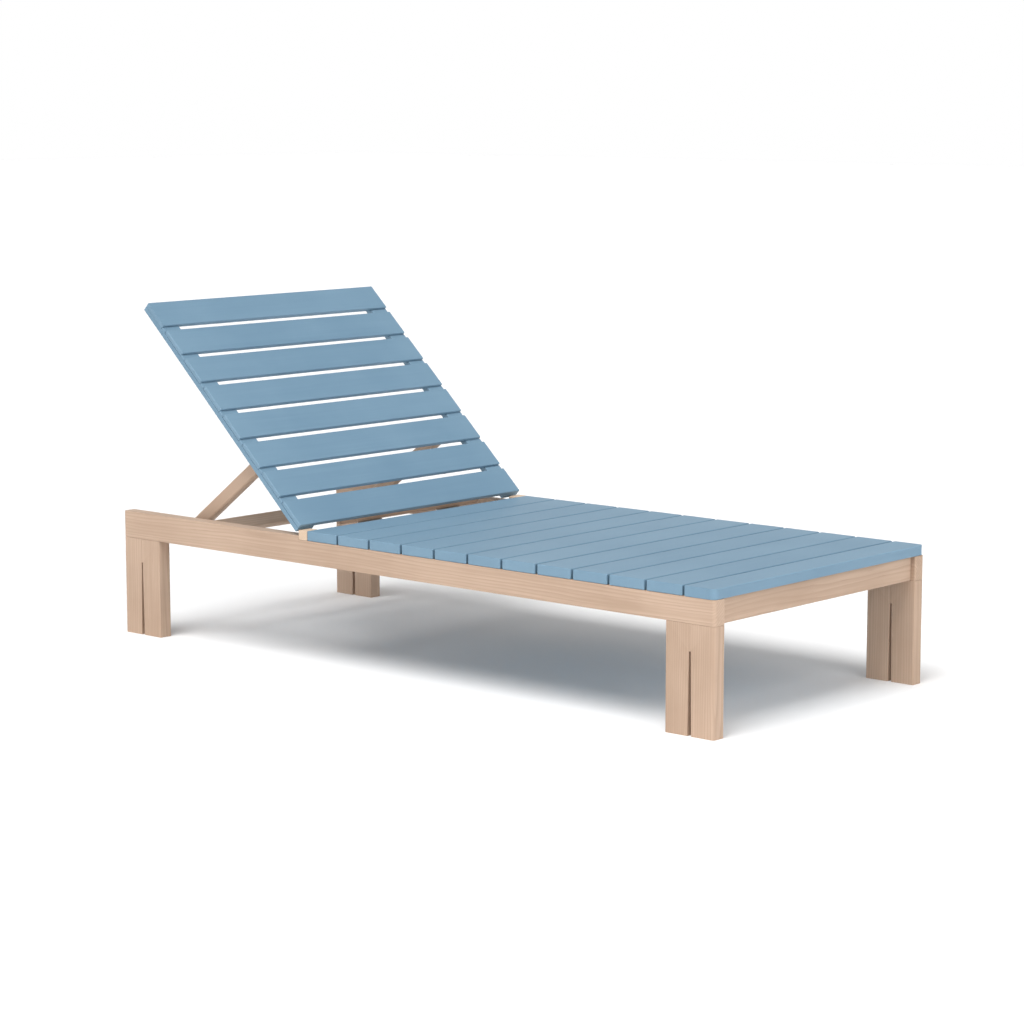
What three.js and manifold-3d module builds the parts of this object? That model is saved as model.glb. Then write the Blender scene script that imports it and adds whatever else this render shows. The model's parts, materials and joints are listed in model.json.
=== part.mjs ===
// Reclining sun lounger: a hardwood frame on four panel legs, a slatted seat let into the side rails,
// and a slatted backrest that hinges up and is held by a prop whose foot pins ride over notched racks.
//
// Frame: +X towards the foot end, -X towards the head end, +Z up, origin on the ground at the centre.
// All sizes are in millimetres. The backrest and the prop are drawn lying flat, then turned.

import * as THREE from 'three';
import { mergeVertices } from 'three/addons/utils/BufferGeometryUtils.js';
import Module from 'manifold-3d';

// ---- whole lounger ----
const LENGTH = 2000;              // side rails, end to end
const WIDTH = 848;                // over the outer faces of the side rails
const LEG_HEIGHT = 261;           // ground to the underside of the rails
const HEAD_LENGTH = 702;          // head end of the frame to the first seat slat
const BACK_ANGLE = 43.6;          // backrest above the horizontal, degrees, as drawn
const BACK_UPRIGHT = 56;          // steepest backrest, degrees
const CLEAR = 0.3;                // gap between two pieces that touch

// ---- frame timbers ----
const RAIL_THICKNESS = 38;
const RAIL_DEPTH = 61;            // under the seat slats
const RAIL_STEP = 10;             // how much higher the rail stands beside the backrest
const END_ROUND = 10;             // outer upright edge of rails and legs at the frame's ends
const EDGE_ROUND = 4;             // other upright edges
const LEG_WIDTH = 140.5;          // two boards side by side
const SLIT_BELOW_RAIL = 64;       // height of the closed joint above the slit between the boards
const SLIT_TOP = 5;
const SLIT_FOOT = 11;
const TENON_LENGTH = 96;
const TENON_DEPTH = 24;           // into the rail, and again into the leg
const TENON_THICKNESS = 10;
const APRON_THICKNESS = 28;
const APRON_SETBACK = 13;
const TIE_THICKNESS = 25;
const TIE_DEPTH = 27;
const TIE_SETBACK = 4;
const TIE_RISE = -4;              // its top above the underside of the rails
const HINGE_RAIL_THICKNESS = 26;
const HINGE_RAIL_PROUD = 8;       // above the seat slats' underside
const BLOCK_LENGTH = 30;
const CLEAT_SIZE = 22;
const EDGE_CHAMFER = 1.5;

// ---- seat ----
const SEAT_SLATS = 12;
const SEAT_THICKNESS = 25.5;
const SEAT_GAP = 7;
const FOOT_SLAT_TRIM = 16;        // the foot slat is this much narrower than the others
const FOOT_SLAT_ROUND = 18;

// ---- backrest ----
const BACK_SLATS = 8;
const BACK_SLAT_WIDTH = 82.8;
const BACK_GAP = 16.8;
const BACK_THICKNESS = 12;
const BACK_ROUND = 5;             // upper corners of the backrest
const STILE_WIDTH = 58;
const STILE_THICKNESS = 13;
const STILE_RIB = 6;              // the stiles rise this much between the slats
const PANEL_START = 13;           // hinge axis to the backrest's lower end
const PANEL_DROP = 0.5;           // underside of the stiles below the hinge axis
const BATTEN_LENGTH = 534;
const BATTEN_WIDTH = 46;

// ---- hinges ----
const HINGE_SPACING = 300;
const HINGE_LENGTH = 90;
const BARREL_RADIUS = 5;
const HINGE_PIN_RADIUS = 2.2;
const PIN_CLEAR = 0.08;
const LEAF_THICKNESS = 2;
const LEAF_WIDTH = 30;
const HINGE_LIFT = 1;             // hinge axis above the top of the head rails

// ---- prop ----
const STRUT_DEPTH = 38;
const STRUT_THICKNESS = 25;
const STRUT_ROUND = 7;
const LUG_THICKNESS = 20;
const LUG_LENGTH = 58;
const PIVOT_REACH = 266;          // hinge axis to the prop's pivot, along the backrest
const PIVOT_BELOW = 9;            // pivot under the plane of the hinge axis
const PROP_LENGTH = 379;          // pivot to the foot pins
const CROSSBAR_THICKNESS = 25;
const FOOT_PIN_RADIUS = 7;
const FOOT_PIN_END_GAP = 5.7;     // foot pin to the side rail
const BOLT_RADIUS = 4;
const BOLT_HEAD_RADIUS = 9;
const BOLT_HEAD_HEIGHT = 5;
const BOLT_BORE_CLEAR = 0.08;

// ---- racks ----
const RACK_THICKNESS = 21.7;
const FOOT_HEIGHT = 20;           // foot pins' axis above the underside of the rails, as drawn
const RACK_CLEAR = 0.5;           // foot pin over the teeth
const NOTCH_DEPTH = 5;
const NOTCH_HALF = 11;
const RACK_END = 20;              // rack beyond its end notches
const RACK_WEB = 2.5;             // least wood left under a notch
const NOTCH_ANGLES = [22, 33, 43.6, 50, 56];

const DEG = Math.PI / 180;
const ROUND_STEPS = 6;
const TURN_SIDES = 20;

// ---- places worked out from the sizes above ----
const headX = -LENGTH / 2;
const footX = LENGTH / 2;
const seatX = headX + HEAD_LENGTH;
const sideY = WIDTH / 2;
const innerY = sideY - RAIL_THICKNESS;
const railBottom = LEG_HEIGHT + CLEAR;
const seatZ = LEG_HEIGHT + RAIL_DEPTH;
const headZ = seatZ + RAIL_STEP;
const stepX = seatX - CLEAR * 2 - BLOCK_LENGTH - CLEAR;
const hingeRailX = seatX - CLEAR - HINGE_RAIL_THICKNESS;
const hingeX = hingeRailX - CLEAR - BARREL_RADIUS;
const hingeZ = headZ + HINGE_LIFT;
const footZ = LEG_HEIGHT + FOOT_HEIGHT;
const strutY = sideY - STILE_WIDTH - CLEAR - LUG_THICKNESS - CLEAR;

// Angle of the prop below the horizontal, for the backrest at a given angle, as the coupled hinges turn it.
function pivotAt(angle) {
  const a = angle * DEG;
  return {
    x: hingeX - PIVOT_REACH * Math.cos(a) - PIVOT_BELOW * Math.sin(a),
    z: hingeZ + PIVOT_REACH * Math.sin(a) - PIVOT_BELOW * Math.cos(a),
  };
}
const propAngle = Math.asin((pivotAt(BACK_ANGLE).z - footZ) / PROP_LENGTH) / DEG;
const flatPropAngle = Math.asin((pivotAt(0).z - footZ) / PROP_LENGTH) / DEG;

// Degrees the prop turns for each degree of recline: the foot pins are level again with the backrest flat.
const PROP_RATIO = Math.round(100 * (1 + (propAngle - flatPropAngle) / BACK_ANGLE)) / 100;
function footAt(angle) {
  const pivot = pivotAt(angle);
  const dip = (propAngle + (PROP_RATIO - 1) * (angle - BACK_ANGLE)) * DEG;
  return { x: pivot.x - PROP_LENGTH * Math.cos(dip), z: pivot.z - PROP_LENGTH * Math.sin(dip) };
}

// ---- materials ----
const timber = () => new THREE.MeshStandardMaterial({ color: 0xc8ab94, roughness: 0.7, metalness: 0 });
const paleTimber = () => new THREE.MeshStandardMaterial({ color: 0xd6bfa6, roughness: 0.7, metalness: 0 });
const bluePaint = () => new THREE.MeshStandardMaterial({ color: 0x7b99b0, roughness: 0.6, metalness: 0 });
const steel = () => new THREE.MeshStandardMaterial({ color: 0x9a9a9c, roughness: 0.35, metalness: 0.9 });

// ---- solids ----
const wasm = await Module();
wasm.setup();

function toSolid(geometry) {
  const bare = geometry.clone();
  bare.deleteAttribute('normal');
  bare.deleteAttribute('uv');
  const merged = mergeVertices(bare, 1e-4);
  return new wasm.Manifold(new wasm.Mesh({
    numProp: 3,
    vertProperties: new Float32Array(merged.attributes.position.array),
    triVerts: new Uint32Array(merged.index.array),
  }));
}

function toGeometry(solid) {
  const mesh = solid.getMesh();
  const geometry = new THREE.BufferGeometry();
  geometry.setAttribute('position', new THREE.BufferAttribute(new Float32Array(mesh.vertProperties), 3));
  geometry.setIndex(new THREE.BufferAttribute(new Uint32Array(mesh.triVerts), 1));
  geometry.computeVertexNormals();
  return geometry;
}

const both = (a, b) => toGeometry(toSolid(a).intersect(toSolid(b)));
const cut = (a, ...rest) => toGeometry(rest.reduce((solid, b) => solid.subtract(toSolid(b)), toSolid(a)));
const join = (a, ...rest) => toGeometry(rest.reduce((solid, b) => solid.add(toSolid(b)), toSolid(a)));

// ---- outlines and extrusions ----

// A closed outline through corners [x, y, radius]; a corner with a radius is rounded.
function outline(corners) {
  const shape = new THREE.Shape();
  const count = corners.length;
  corners.forEach(([x, y, radius = 0], i) => {
    const here = new THREE.Vector2(x, y);
    const before = new THREE.Vector2(...corners[(i + count - 1) % count].slice(0, 2));
    const after = new THREE.Vector2(...corners[(i + 1) % count].slice(0, 2));
    const enter = here.clone().add(before.sub(here).setLength(radius));
    const leave = here.clone().add(after.sub(here).setLength(radius));
    if (i === 0) shape.moveTo(enter.x, enter.y);
    else shape.lineTo(enter.x, enter.y);
    if (radius > 0) shape.quadraticCurveTo(x, y, leave.x, leave.y);
  });
  shape.closePath();
  return shape;
}

// A rectangle with its own radius at each corner, from the low corner anticlockwise.
function rectangle(x0, x1, y0, y1, radii = [0, 0, 0, 0]) {
  return outline([[x0, y0, radii[0]], [x1, y0, radii[1]], [x1, y1, radii[2]], [x0, y1, radii[3]]]);
}

// A rectangle with its corners cut at 45 degrees.
function chamfered(x0, x1, y0, y1, c = EDGE_CHAMFER) {
  return outline([
    [x0 + c, y0], [x1 - c, y0], [x1, y0 + c], [x1, y1 - c],
    [x1 - c, y1], [x0 + c, y1], [x0, y1 - c], [x0, y0 + c],
  ]);
}

function extrude(shape, depth, extra = {}) {
  const settings = { depth, bevelEnabled: false, curveSegments: ROUND_STEPS, ...extra };
  return new THREE.ExtrudeGeometry(shape, settings);
}

// A plan outline (x, y) raised from z0 to z1.
const alongZ = (shape, z0, z1) => extrude(shape, z1 - z0).translate(0, 0, z0);

// A side outline (x, z) drawn out from y0 to y1.
const alongY = (shape, y0, y1) => extrude(shape, y1 - y0).rotateX(Math.PI / 2).translate(0, y1, 0);

// An end outline (y, z) drawn out from x0 to x1.
function alongX(shape, x0, x1) {
  const turn = new THREE.Matrix4().makeBasis(
    new THREE.Vector3(0, 1, 0), new THREE.Vector3(0, 0, 1), new THREE.Vector3(1, 0, 0));
  return extrude(shape, x1 - x0).applyMatrix4(turn).translate(x0, 0, 0);
}

// A round bar along Y.
const rod = (radius, y0, y1, x = 0, z = 0) =>
  new THREE.CylinderGeometry(radius, radius, y1 - y0, TURN_SIDES).translate(x, (y0 + y1) / 2, z);

const box = (x0, x1, y0, y1, z0, z1) =>
  new THREE.BoxGeometry(x1 - x0, y1 - y0, z1 - z0).translate((x0 + x1) / 2, (y0 + y1) / 2, (z0 + z1) / 2);

// ---- assembly ----
const lounger = new THREE.Group();
const backrest = new THREE.Group();
const prop = new THREE.Group();
lounger.add(backrest);
backrest.add(prop);
backrest.position.set(hingeX, 0, hingeZ);
backrest.rotation.y = BACK_ANGLE * DEG;
prop.position.set(-PIVOT_REACH, 0, -PIVOT_BELOW);
prop.rotation.y = -(BACK_ANGLE + propAngle) * DEG;

function add(group, name, geometry, material) {
  const mesh = new THREE.Mesh(geometry, material);
  mesh.name = name;
  group.add(mesh);
}

// The two sides: the right side is at -Y as someone lying on the lounger sees it.
const SIDES = [{ name: 'right', sign: -1 }, { name: 'left', sign: 1 }];
const ENDS = [{ name: 'head', sign: -1 }, { name: 'foot', sign: 1 }];

// Low and high Y of a band between two distances from the centre line, on one side.
const band = (side, inner, outer) => (side.sign > 0 ? [inner, outer] : [-outer, -inner]);

// Radii in the order of rectangle(), for a piece whose outer face is on the given side.
function uprightRounds(side, headOuter, footOuter, headInner, footInner) {
  return side.sign > 0
    ? [headInner, footInner, footOuter, headOuter]
    : [headOuter, footOuter, footInner, headInner];
}

function legCentre(end) {
  return end.sign * (LENGTH / 2 - LEG_WIDTH / 2);
}

function tenonSpace(side, end, grow) {
  const centreY = side.sign * (sideY - RAIL_THICKNESS / 2);
  const halfLength = TENON_LENGTH / 2 + grow;
  const halfThickness = TENON_THICKNESS / 2 + grow;
  return box(
    legCentre(end) - halfLength, legCentre(end) + halfLength,
    centreY - halfThickness, centreY + halfThickness,
    railBottom - TENON_DEPTH - grow, railBottom + TENON_DEPTH + grow,
  );
}

// Side rail: full depth beside the backrest, stepped down under the seat slats.
function sideRail(side) {
  const profile = outline([
    [headX, railBottom], [footX, railBottom], [footX, seatZ], [stepX, seatZ],
    [stepX, headZ], [headX, headZ],
  ]);
  const [y0, y1] = band(side, innerY, sideY);
  const rounds = uprightRounds(side, END_ROUND, END_ROUND, EDGE_ROUND, EDGE_ROUND);
  const plan = rectangle(headX, footX, y0, y1, rounds);
  const blank = both(alongY(profile, y0, y1), alongZ(plan, railBottom - 1, headZ + 1));
  return cut(blank, ...ENDS.map((end) => tenonSpace(side, end, CLEAR)));
}

// One of the two boards of a leg. where is -1 for the board nearer the head end.
function legBoard(side, end, where) {
  const centre = legCentre(end);
  const outer = centre + where * LEG_WIDTH / 2;
  const top = LEG_HEIGHT;
  const slitZ = LEG_HEIGHT - SLIT_BELOW_RAIL;
  const profile = outline([
    [outer, 0], [centre + where * SLIT_FOOT / 2, 0], [centre + where * SLIT_TOP / 2, slitZ],
    [centre + where * CLEAR / 2, slitZ], [centre + where * CLEAR / 2, top], [outer, top],
  ]);
  const [y0, y1] = band(side, innerY, sideY);
  const atHead = end.sign < 0 ? END_ROUND : EDGE_ROUND;
  const atFoot = end.sign > 0 ? END_ROUND : EDGE_ROUND;
  const rounds = uprightRounds(side, atHead, atFoot, EDGE_ROUND, EDGE_ROUND);
  const plan = rectangle(centre - LEG_WIDTH / 2, centre + LEG_WIDTH / 2, y0, y1, rounds);
  const blank = both(alongY(profile, y0, y1), alongZ(plan, -1, top + 1));
  return cut(blank, tenonSpace(side, end, CLEAR));
}

// Rack: a batten on the inner face of the rail, notched where the foot pins come to rest.
function rack(side) {
  const flat = footAt(0);
  const upright = footAt(BACK_UPRIGHT);
  const tipZ = (foot) => foot.z - FOOT_PIN_RADIUS - RACK_CLEAR;
  const teeth = [];
  NOTCH_ANGLES.forEach((angle) => {
    const foot = footAt(angle);
    teeth.push([foot.x - NOTCH_HALF, tipZ(foot)]);
    teeth.push([foot.x - NOTCH_HALF / 2, tipZ(foot) - NOTCH_DEPTH]);
    teeth.push([foot.x + NOTCH_HALF / 2, tipZ(foot) - NOTCH_DEPTH]);
    teeth.push([foot.x + NOTCH_HALF, tipZ(foot)]);
  });
  const headEnd = flat.x - RACK_END;
  const lowest = Math.min(...teeth.map((corner) => corner[1]));
  const underside = Math.min(railBottom, lowest - RACK_WEB);
  const profile = outline([
    [headEnd, underside], [headEnd, tipZ(flat)], [flat.x + NOTCH_HALF / 2, tipZ(flat)], ...teeth,
    [upright.x + RACK_END, tipZ(upright)], [upright.x + RACK_END, underside],
  ]);
  return alongY(profile, ...band(side, innerY - CLEAR - RACK_THICKNESS, innerY - CLEAR));
}

function buildFrame() {
  for (const side of SIDES) {
    add(lounger, `${side.name}_side_rail`, sideRail(side), timber());
    for (const end of ENDS) {
      const leg = `${side.name}_${end.name}_leg`;
      add(lounger, `${leg}_head_board`, legBoard(side, end, -1), timber());
      add(lounger, `${leg}_foot_board`, legBoard(side, end, 1), timber());
      add(lounger, `${leg}_tenon`, tenonSpace(side, end, 0), timber());
    }
    const blockX = stepX + CLEAR;
    const block = chamfered(blockX, blockX + BLOCK_LENGTH, seatZ + CLEAR, seatZ + SEAT_THICKNESS);
    add(lounger, `${side.name}_hinge_block`, alongY(block, ...band(side, innerY, sideY)), paleTimber());
    const [cleat0, cleat1] = band(side, innerY - CLEAR - CLEAT_SIZE, innerY - CLEAR);
    const cleat = chamfered(cleat0, cleat1, seatZ - CLEAT_SIZE, seatZ);
    const cleatEnd = footX - APRON_SETBACK - APRON_THICKNESS - CLEAR;
    add(lounger, `${side.name}_seat_cleat`, alongX(cleat, seatX, cleatEnd), timber());
    add(lounger, `${side.name}_rack`, rack(side), timber());
  }
  const inside = innerY - CLEAR;
  const apron1 = footX - APRON_SETBACK;
  const apron = chamfered(apron1 - APRON_THICKNESS, apron1, railBottom, seatZ);
  add(lounger, 'foot_apron', alongY(apron, -inside, inside), timber());
  const tie0 = headX + TIE_SETBACK;
  const tieTop = LEG_HEIGHT + TIE_RISE;
  const tie = chamfered(tie0, tie0 + TIE_THICKNESS, tieTop - TIE_DEPTH, tieTop);
  add(lounger, 'head_tie_rail', alongY(tie, -inside, inside), timber());
  const hingeRail = chamfered(
    hingeRailX, hingeRailX + HINGE_RAIL_THICKNESS, railBottom, seatZ + HINGE_RAIL_PROUD);
  add(lounger, 'hinge_rail', alongY(hingeRail, -inside, inside), timber());
}

// Seat slats lie across the rails, flush with their outer faces. The foot slat is narrower and rounded.
function buildSeat() {
  const pitch = (footX - seatX + SEAT_GAP + FOOT_SLAT_TRIM) / SEAT_SLATS;
  for (let i = 0; i < SEAT_SLATS; i += 1) {
    const x0 = seatX + i * pitch;
    const last = i === SEAT_SLATS - 1;
    const x1 = last ? footX : x0 + pitch - SEAT_GAP;
    const z0 = seatZ + CLEAR;
    const z1 = seatZ + SEAT_THICKNESS;
    let slat = alongY(chamfered(x0, x1, z0, z1), -sideY, sideY);
    if (last) {
      const plan = rectangle(x0, x1, -sideY, sideY, [0, FOOT_SLAT_ROUND, FOOT_SLAT_ROUND, 0]);
      slat = both(slat, alongZ(plan, z0 - 1, z1 + 1));
    }
    add(lounger, `seat_slat_${String(i + 1).padStart(2, '0')}`, slat, bluePaint());
  }
}

// Side outline of a stile, housed under each slat and rising between them.
function stileProfile(panelEnd, underside) {
  const seat = underside + STILE_THICKNESS;
  const corners = [[panelEnd, underside], [-PANEL_START, underside], [-PANEL_START, seat]];
  for (let i = BACK_SLATS - 1; i > 0; i -= 1) {
    const rib0 = panelEnd + i * (BACK_SLAT_WIDTH + BACK_GAP) - BACK_GAP + CLEAR;
    const rib1 = rib0 + BACK_GAP - 2 * CLEAR;
    corners.push([rib1, seat], [rib1, seat + STILE_RIB], [rib0, seat + STILE_RIB], [rib0, seat]);
  }
  corners.push([panelEnd, seat]);
  return outline(corners);
}

// The backrest, drawn flat with the hinge axis at its origin and the head end towards -X.
function buildBackrest() {
  const underside = -PANEL_DROP;
  const slatZ = underside + STILE_THICKNESS + CLEAR;
  const pitch = BACK_SLAT_WIDTH + BACK_GAP;
  const panelEnd = -PANEL_START - BACK_SLATS * pitch + BACK_GAP;
  for (let i = 0; i < BACK_SLATS; i += 1) {
    const x0 = panelEnd + i * pitch;
    const x1 = x0 + BACK_SLAT_WIDTH;
    let slat = alongY(chamfered(x0, x1, slatZ, slatZ + BACK_THICKNESS), -sideY, sideY);
    if (i === 0) {
      const plan = rectangle(x0, x1, -sideY, sideY, [BACK_ROUND, 0, 0, BACK_ROUND]);
      slat = both(slat, alongZ(plan, slatZ - 1, slatZ + BACK_THICKNESS + 1));
    }
    add(backrest, `back_slat_${i + 1}`, slat, bluePaint());
  }
  for (const side of SIDES) {
    const [y0, y1] = band(side, sideY - STILE_WIDTH, sideY);
    const rounds = uprightRounds(side, BACK_ROUND, 0, 0, 0);
    const plan = rectangle(panelEnd, -PANEL_START, y0, y1, rounds);
    const profile = alongY(stileProfile(panelEnd, underside), y0, y1);
    const stile = both(profile, alongZ(plan, underside - 1, slatZ + STILE_RIB + 1));
    add(backrest, `${side.name}_back_stile`, stile, bluePaint());
    const halfLug = LUG_LENGTH / 2;
    const lug = outline([
      [-PIVOT_REACH - halfLug, slatZ - CLEAR], [-PIVOT_REACH - halfLug, -PIVOT_BELOW, halfLug / 2],
      [-PIVOT_REACH - halfLug / 2, -PIVOT_BELOW - STRUT_DEPTH / 2, halfLug / 4],
      [-PIVOT_REACH + halfLug / 2, -PIVOT_BELOW - STRUT_DEPTH / 2, halfLug / 4],
      [-PIVOT_REACH + halfLug, -PIVOT_BELOW, halfLug / 2], [-PIVOT_REACH + halfLug, slatZ - CLEAR],
    ]);
    const [lug0, lug1] = band(side, strutY + CLEAR, strutY + CLEAR + LUG_THICKNESS);
    const bore = rod(BOLT_RADIUS + BOLT_BORE_CLEAR, lug0 - 1, lug1 + 1, -PIVOT_REACH, -PIVOT_BELOW);
    add(backrest, `${side.name}_prop_lug`, cut(alongY(lug, lug0, lug1), bore), bluePaint());
    add(backrest, `${side.name}_pivot_bolt`, pivotBolt(side), steel());
  }
  const leafTop = -BARREL_RADIUS + LEAF_THICKNESS + CLEAR;
  const batten = chamfered(-PANEL_START - BATTEN_WIDTH, -PANEL_START, leafTop, slatZ - CLEAR);
  add(backrest, 'hinge_batten', alongY(batten, -BATTEN_LENGTH / 2, BATTEN_LENGTH / 2), timber());
}

// Bolt along Y through the strut and its lug, with a domed head on the inner side.
function pivotBolt(side) {
  const inner = strutY - STRUT_THICKNESS;
  const length = STRUT_THICKNESS + CLEAR + LUG_THICKNESS;
  const headFlat = BOLT_HEAD_HEIGHT / 3;
  const profile = [
    [0, -BOLT_HEAD_HEIGHT - CLEAR], [BOLT_HEAD_RADIUS * 0.7, -BOLT_HEAD_HEIGHT * 0.8 - CLEAR],
    [BOLT_HEAD_RADIUS, -headFlat - CLEAR], [BOLT_HEAD_RADIUS, -CLEAR], [BOLT_RADIUS, -CLEAR],
    [BOLT_RADIUS, length - 1], [BOLT_RADIUS - 1, length], [0, length],
  ].map(([r, y]) => new THREE.Vector2(r, y));
  const bolt = new THREE.LatheGeometry(profile, TURN_SIDES);
  if (side.sign < 0) bolt.rotateX(Math.PI);
  return bolt.translate(-PIVOT_REACH, side.sign * inner, -PIVOT_BELOW);
}

// The prop, drawn flat with its pivot at the origin and its foot towards -X.
function buildProp() {
  const crossTop = -PROP_LENGTH + CROSSBAR_THICKNESS / 2;
  for (const side of SIDES) {
    const r = STRUT_DEPTH / 2;
    const profile = new THREE.Shape();
    profile.moveTo(crossTop + CLEAR, -r + STRUT_ROUND);
    profile.lineTo(crossTop + CLEAR, r - STRUT_ROUND);
    profile.lineTo(0, r - STRUT_ROUND);
    profile.absarc(0, 0, r - STRUT_ROUND, Math.PI / 2, -Math.PI / 2, true);
    profile.closePath();
    const [y0, y1] = band(side, strutY - STRUT_THICKNESS, strutY);
    const rounded = extrude(profile, STRUT_THICKNESS - 2 * STRUT_ROUND, {
      bevelEnabled: true, bevelSize: STRUT_ROUND, bevelThickness: STRUT_ROUND, bevelSegments: 3,
      curveSegments: 8,
    }).rotateX(Math.PI / 2).translate(0, y1 - STRUT_ROUND, 0);
    const room = box(crossTop + CLEAR, r + 1, y0 - 1, y1 + 1, -r - 1, r + 1);
    const bore = rod(BOLT_RADIUS + BOLT_BORE_CLEAR, y0 - 1, y1 + 1);
    const strut = toSolid(rounded).intersect(toSolid(room)).subtract(toSolid(bore));
    add(prop, `${side.name}_strut`, toGeometry(strut), timber());
  }
  const bar = chamfered(
    -PROP_LENGTH - CROSSBAR_THICKNESS / 2, crossTop, -STRUT_DEPTH / 2, STRUT_DEPTH / 2, EDGE_CHAMFER * 2);
  const pinEnd = innerY - FOOT_PIN_END_GAP;
  const crossbar = join(alongY(bar, -strutY, strutY), rod(FOOT_PIN_RADIUS, -pinEnd, pinEnd, -PROP_LENGTH, 0));
  add(prop, 'prop_crossbar', crossbar, timber());
}

// A butt hinge: one leaf on the hinge rail, one under the hinge batten, three knuckles on a pin.
function buildHinges() {
  const third = HINGE_LENGTH / 3;
  const knuckle = (y0, y1) => rod(BARREL_RADIUS, y0, y1);
  const bore = rod(HINGE_PIN_RADIUS + PIN_CLEAR, -HINGE_LENGTH, HINGE_LENGTH);
  const reach = BARREL_RADIUS + LEAF_WIDTH;
  for (const side of SIDES) {
    const y = side.sign * HINGE_SPACING / 2;
    const half = HINGE_LENGTH / 2;
    const fixedPlate = box(BARREL_RADIUS - LEAF_THICKNESS, BARREL_RADIUS, -half, half, -reach, 0);
    const fixedSlot = box(-reach, reach, -third / 2 - CLEAR, third / 2 + CLEAR, -BARREL_RADIUS - 1, reach);
    const fixed = cut(join(fixedPlate, knuckle(-half, half)), fixedSlot, bore).translate(hingeX, y, hingeZ);
    add(lounger, `${side.name}_hinge_fixed_leaf`, fixed, steel());
    const plate = box(-reach, 0, -half, half, -BARREL_RADIUS, -BARREL_RADIUS + LEAF_THICKNESS);
    const swept = BARREL_RADIUS + 1;
    const ends = [-1, 1].map((s) => {
      const a = s * (third / 2);
      return box(-swept, swept, Math.min(a, s * HINGE_LENGTH), Math.max(a, s * HINGE_LENGTH), -swept, swept);
    });
    const moving = cut(join(plate, knuckle(-third / 2, third / 2)), bore, ...ends).translate(0, y, 0);
    add(backrest, `${side.name}_hinge_moving_leaf`, moving, steel());
    const pin = rod(HINGE_PIN_RADIUS, y - half, y + half, hingeX, hingeZ);
    add(lounger, `${side.name}_hinge_pin`, pin, steel());
  }
}

buildFrame();
buildSeat();
buildBackrest();
buildProp();
buildHinges();

export default lounger;
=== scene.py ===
"""Reclining sun lounger: oiled timber frame, painted slats, hinges and screws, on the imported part."""

import json
import logging
import math
from dataclasses import dataclass
from enum import Enum
from typing import Any, Sequence

import bmesh
import bpy
from mathutils import Euler, Matrix, Vector


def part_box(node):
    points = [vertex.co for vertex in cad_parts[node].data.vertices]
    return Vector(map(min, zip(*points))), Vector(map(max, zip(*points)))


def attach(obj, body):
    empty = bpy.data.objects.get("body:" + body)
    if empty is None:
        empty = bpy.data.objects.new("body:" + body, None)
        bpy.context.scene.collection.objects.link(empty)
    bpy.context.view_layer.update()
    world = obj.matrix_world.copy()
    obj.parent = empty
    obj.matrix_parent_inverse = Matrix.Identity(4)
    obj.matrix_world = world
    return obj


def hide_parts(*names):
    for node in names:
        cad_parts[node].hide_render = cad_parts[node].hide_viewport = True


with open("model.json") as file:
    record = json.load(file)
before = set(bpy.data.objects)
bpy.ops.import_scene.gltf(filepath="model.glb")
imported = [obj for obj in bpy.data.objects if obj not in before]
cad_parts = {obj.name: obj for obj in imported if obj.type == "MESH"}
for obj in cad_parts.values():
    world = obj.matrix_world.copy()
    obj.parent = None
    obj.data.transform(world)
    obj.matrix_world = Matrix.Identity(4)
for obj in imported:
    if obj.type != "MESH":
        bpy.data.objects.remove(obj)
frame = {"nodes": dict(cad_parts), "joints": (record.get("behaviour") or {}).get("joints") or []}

LOG = logging.getLogger("lounger")
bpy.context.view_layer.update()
SEED = 11

Colour = tuple[float, float, float]


# ---------------------------------------------------------------------------------------------
# Node trees
# ---------------------------------------------------------------------------------------------


class Signal:
    """A number socket of a shader tree, on which Python's operators add Math nodes."""

    def __init__(self, tree: "NodeTree", socket: bpy.types.NodeSocket) -> None:
        """Keeps the tree and the socket."""
        self.tree = tree
        self.socket = socket

    def _math(self, operation: str, *values: Any, clamp: bool = False) -> "Signal":
        """Adds one Math node.

        Args:
            operation: the Math node's operation.
            values: its inputs in order, numbers or signals.
            clamp: whether the result is held between 0 and 1.

        Returns:
            The node's result.
        """
        node = self.tree.add("ShaderNodeMath", {"operation": operation, "use_clamp": clamp},
                             dict(enumerate(values)))
        return Signal(self.tree, node.outputs[0])

    def __add__(self, other: Any) -> "Signal":
        """self + other."""
        return self._math("ADD", self, other)

    def __radd__(self, other: Any) -> "Signal":
        """other + self."""
        return self._math("ADD", other, self)

    def __sub__(self, other: Any) -> "Signal":
        """self - other."""
        return self._math("SUBTRACT", self, other)

    def __rsub__(self, other: Any) -> "Signal":
        """other - self."""
        return self._math("SUBTRACT", other, self)

    def __mul__(self, other: Any) -> "Signal":
        """self * other."""
        return self._math("MULTIPLY", self, other)

    def __rmul__(self, other: Any) -> "Signal":
        """other * self."""
        return self._math("MULTIPLY", other, self)

    def __truediv__(self, other: Any) -> "Signal":
        """self / other."""
        return self._math("DIVIDE", self, other)

    def __pow__(self, other: Any) -> "Signal":
        """self raised to other."""
        return self._math("POWER", self, other)

    def fraction(self) -> "Signal":
        """The part after the decimal point."""
        return self._math("FRACT", self)

    def clamped(self) -> "Signal":
        """The value held between 0 and 1."""
        return self._math("ADD", self, 0.0, clamp=True)

    def step(self, low: float, high: float) -> "Signal":
        """Rises smoothly from 0 at low to 1 at high.

        Args:
            low: where the rise starts.
            high: where it ends.

        Returns:
            The smooth step.
        """
        node = self.tree.add("ShaderNodeMapRange", {"interpolation_type": "SMOOTHSTEP"},
                             {"Value": self, "From Min": low, "From Max": high, "To Min": 0.0, "To Max": 1.0})
        return Signal(self.tree, node.outputs[0])


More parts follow.
